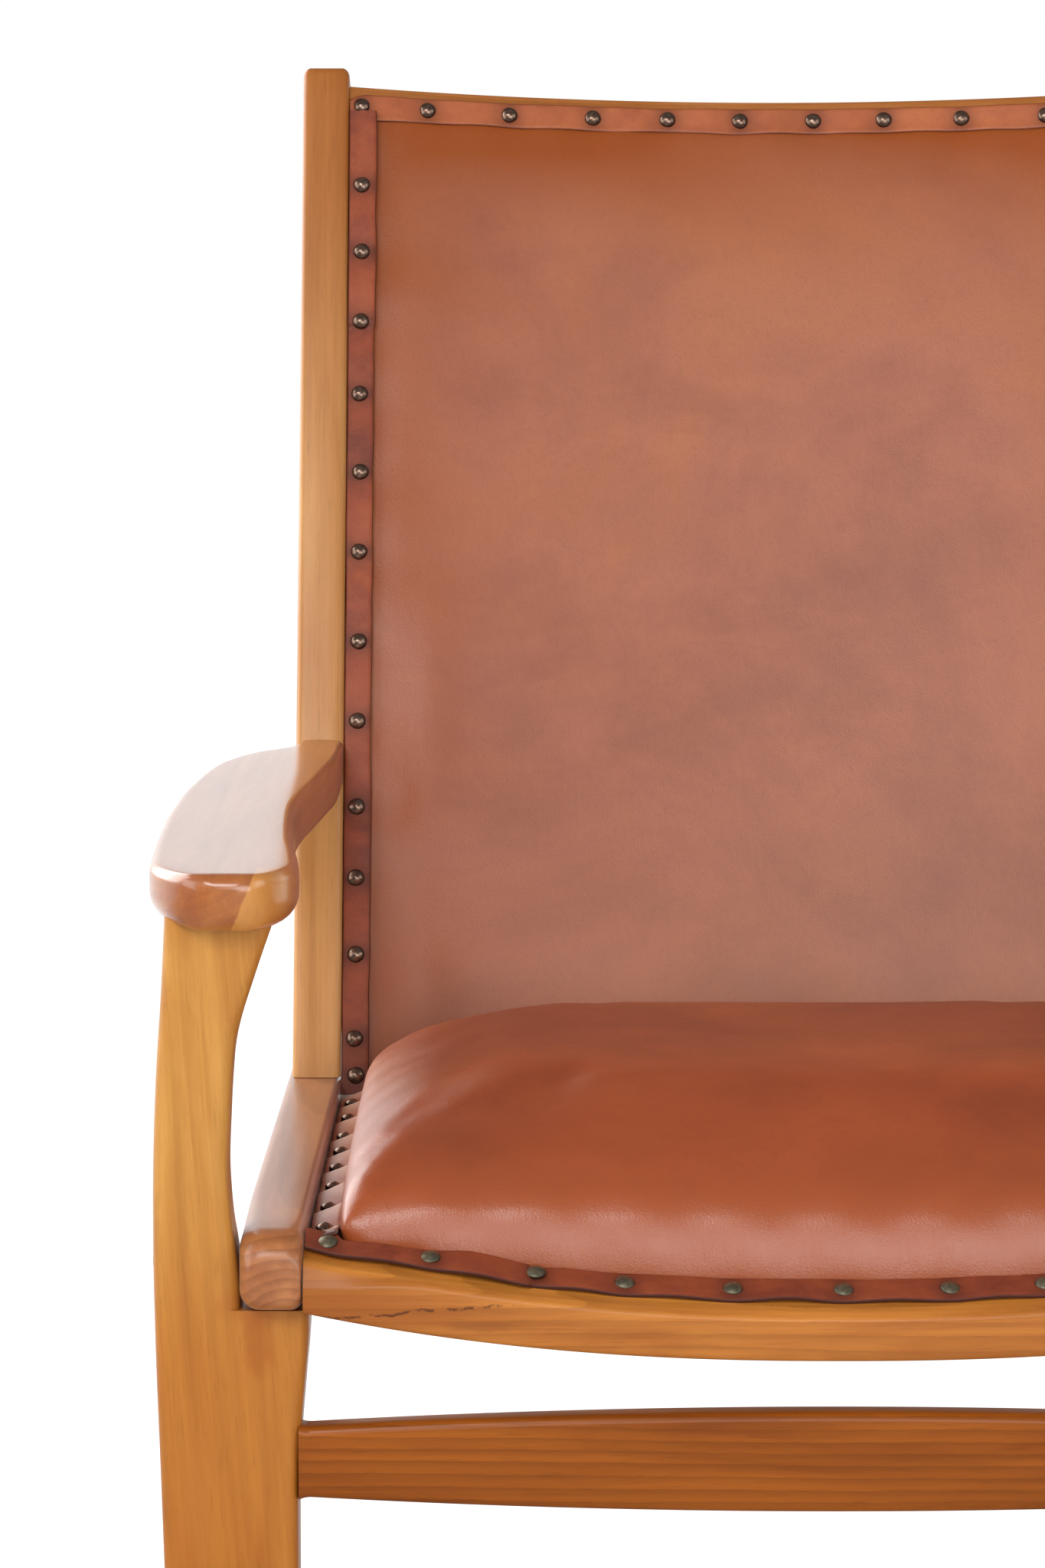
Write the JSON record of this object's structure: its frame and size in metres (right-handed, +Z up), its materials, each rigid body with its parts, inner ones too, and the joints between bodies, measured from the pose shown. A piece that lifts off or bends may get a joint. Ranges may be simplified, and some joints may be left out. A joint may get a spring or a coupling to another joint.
{
  "type": "teak armchair",
  "caption": "Teak armchair with curved arms, a reclined back, and a crowned leather seat and back nailed on with leather trim.",
  "frame": {"origin": "on the floor, in the middle of the chair's outline seen from above", "axes": "+X to the chair's side, across its width; +Y towards its back, so the chair faces -Y; +Z up"},
  "size_m": [0.6516, 0.7072, 0.9945],
  "materials": {
    "teak": "oiled teak, satin",
    "teak_dark": "darker polished teak",
    "leather": "smooth tan leather",
    "leather_trim": "reddish brown leather strip with bronze nails",
    "plywood": "raw plywood",
    "lining": "dark woven lining",
    "glide": "dark plastic"
  },
  "bodies": {
    "root": {"arm_dowel_left": "teak", "arm_dowel_right": "teak", "arm_left": "teak_dark", "arm_right": "teak_dark", "back_batten_left": "teak", "back_batten_right": "teak", "back_board": "plywood", "back_lining": "lining", "back_pad": "leather", "back_post_left": "teak", "back_post_right": "teak", "front_leg_left": "teak", "front_leg_right": "teak", "front_rail": "teak", "front_stretcher": "teak_dark", "front_trim": "leather_trim", "glide_front_left": "glide", "glide_front_right": "glide", "glide_rear_left": "glide", "glide_rear_right": "glide", "leg_peg_left": "teak_dark", "leg_peg_right": "teak_dark", "lower_back_rail": "teak", "post_trim_left": "leather_trim", "post_trim_right": "leather_trim", "rear_leg_left": "teak", "rear_leg_right": "teak", "rear_rail": "teak", "rear_stretcher": "teak_dark", "seat_board": "plywood", "seat_cleat_left": "plywood", "seat_cleat_right": "plywood", "seat_cushion": "leather", "seat_trim_left": "leather_trim", "seat_trim_right": "leather_trim", "side_rail_left": "teak_dark", "side_rail_right": "teak_dark", "top_rail": "teak", "top_trim": "leather_trim"}
  },
  "joints": []
}
